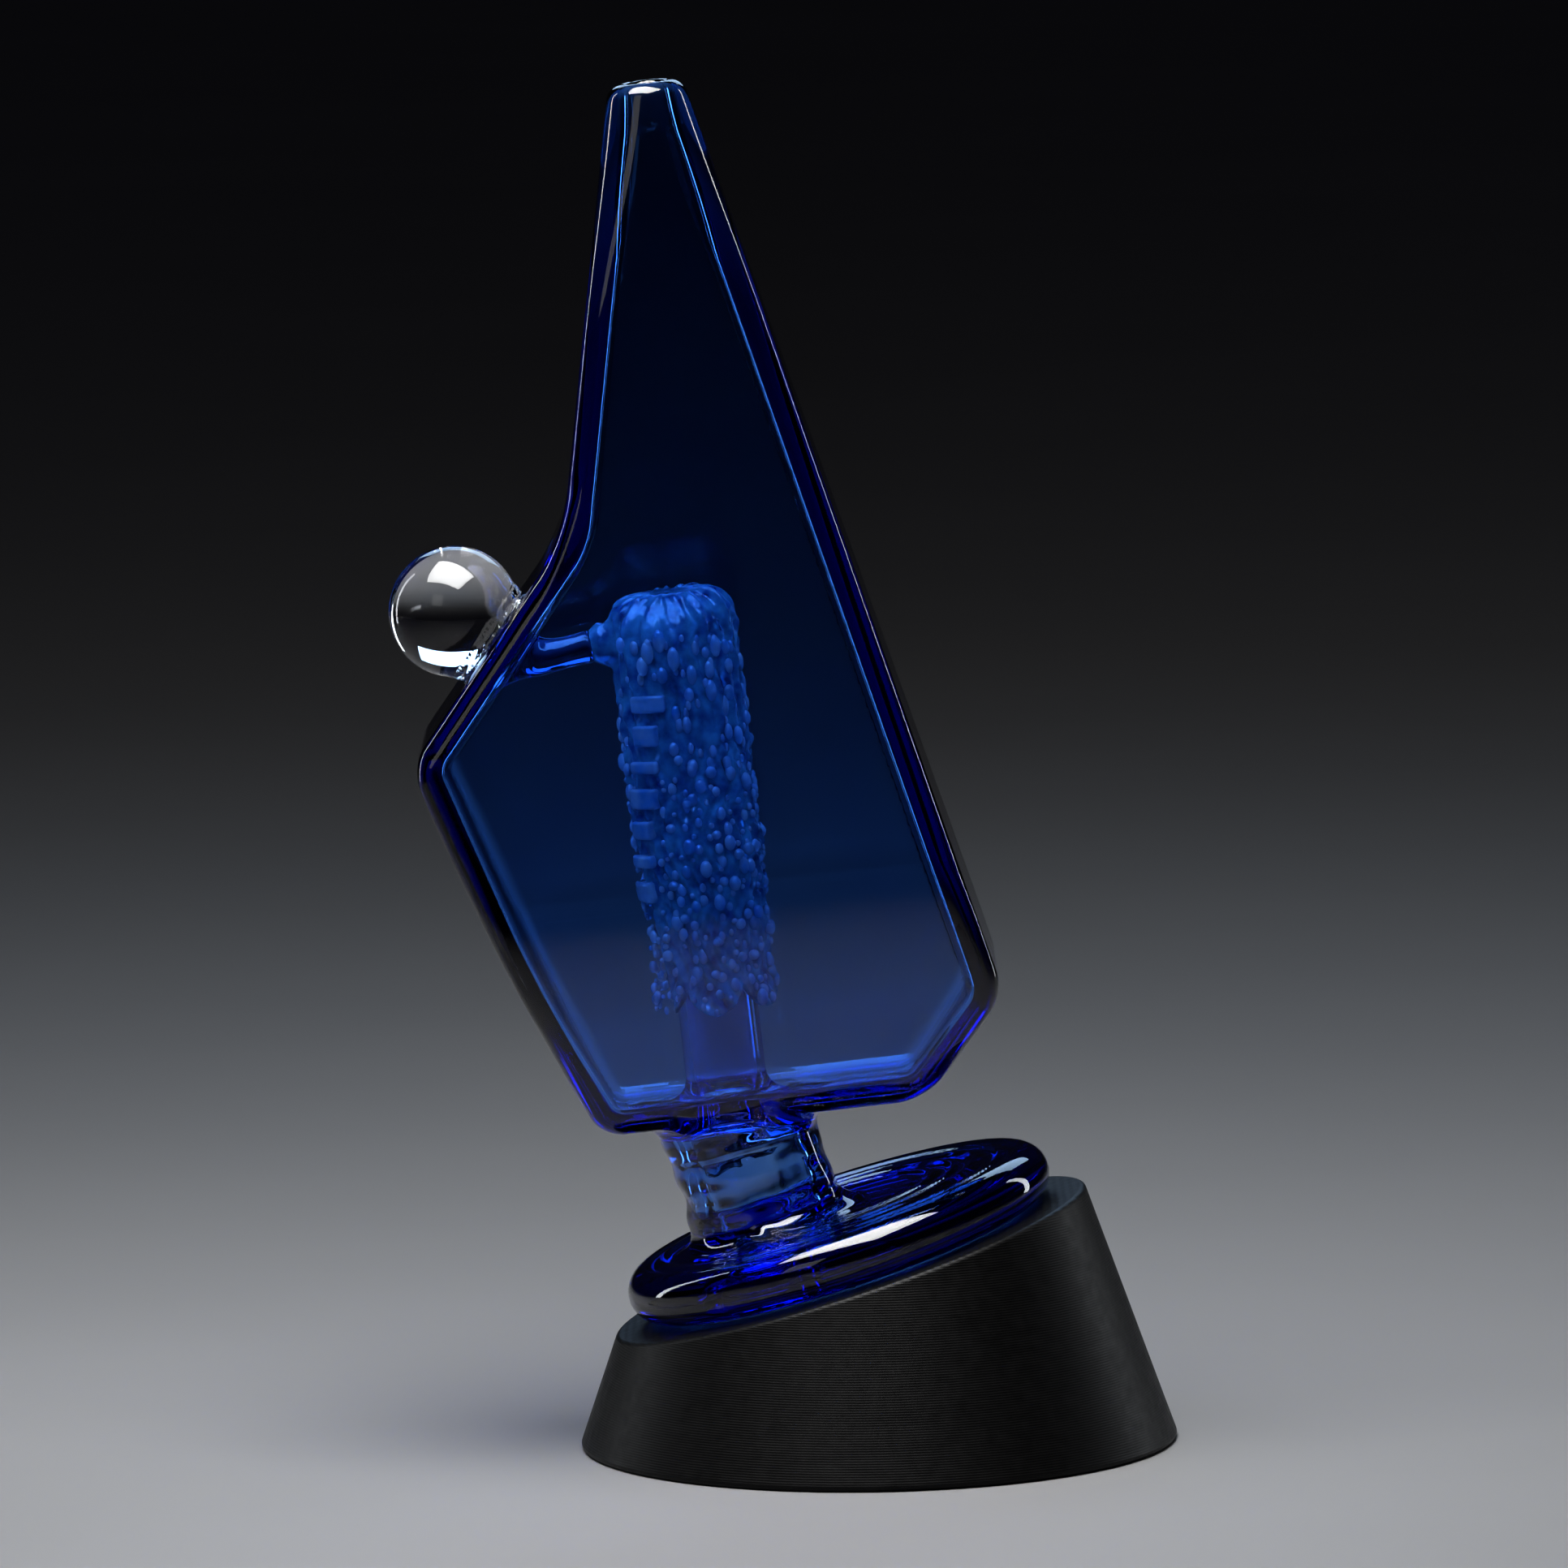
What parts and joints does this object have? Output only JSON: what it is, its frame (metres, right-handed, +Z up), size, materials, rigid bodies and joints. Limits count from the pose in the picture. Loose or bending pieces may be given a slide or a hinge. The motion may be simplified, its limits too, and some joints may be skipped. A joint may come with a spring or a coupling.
{
  "type": "glass water bubbler on a display stand",
  "caption": "Tall faceted cobalt-blue glass flask with a beaded percolator inside, a clear marble on its shoulder and a round foot, leaning on a black conical stand with a tilted deck.",
  "frame": {"origin": "centre of the stand's underside, on the surface that it stands on", "axes": "+Z up, +X towards the high side of the stand's tilted deck, +Y to the back; the whole object is symmetric about the plane Y = 0 apart from the percolator's beads and rungs"},
  "size_m": [0.09, 0.0697, 0.1603],
  "materials": {
    "printed_black": "matte, with fine horizontal layer lines",
    "silicone_black": "matte moulded silicone",
    "cobalt_glass": "fire-polished, deep cobalt blue",
    "percolator_glass": "fire-polished, beaded, cobalt blue",
    "clear_glass": "fire-polished, clear"
  },
  "bodies": {
    "stand": {"stand_body": "printed_black"},
    "ring": {"seat_ring": "silicone_black"},
    "glass": {"foot_disc": "cobalt_glass", "foot_weld": "cobalt_glass", "neck_tube": "cobalt_glass", "neck_weld": "cobalt_glass", "body_shell": "cobalt_glass", "mouth_lip": "cobalt_glass", "uptake_tube": "cobalt_glass", "uptake_weld": "cobalt_glass", "percolator_sleeve": "percolator_glass", "percolator_dome": "percolator_glass", "percolator_skirt": "percolator_glass", "percolator_rungs": "percolator_glass", "percolator_beads": "percolator_glass", "brace_pad": "cobalt_glass", "brace_rod": "cobalt_glass", "brace_knuckle": "cobalt_glass", "marble_weld": "clear_glass", "marble": "clear_glass"}
  },
  "joints": [
    {"name": "swivel", "type": "hinge", "parent": "stand", "child": "ring", "pos_m": [-0.00302, 0, 0.02074], "axis": [-0.2924, 0, 0.9563], "continuous": true},
    {"name": "lift_off", "type": "slide", "parent": "ring", "child": "glass", "axis": [-0.2924, 0, 0.9563], "range_m": [0, 0.06]}
  ]
}
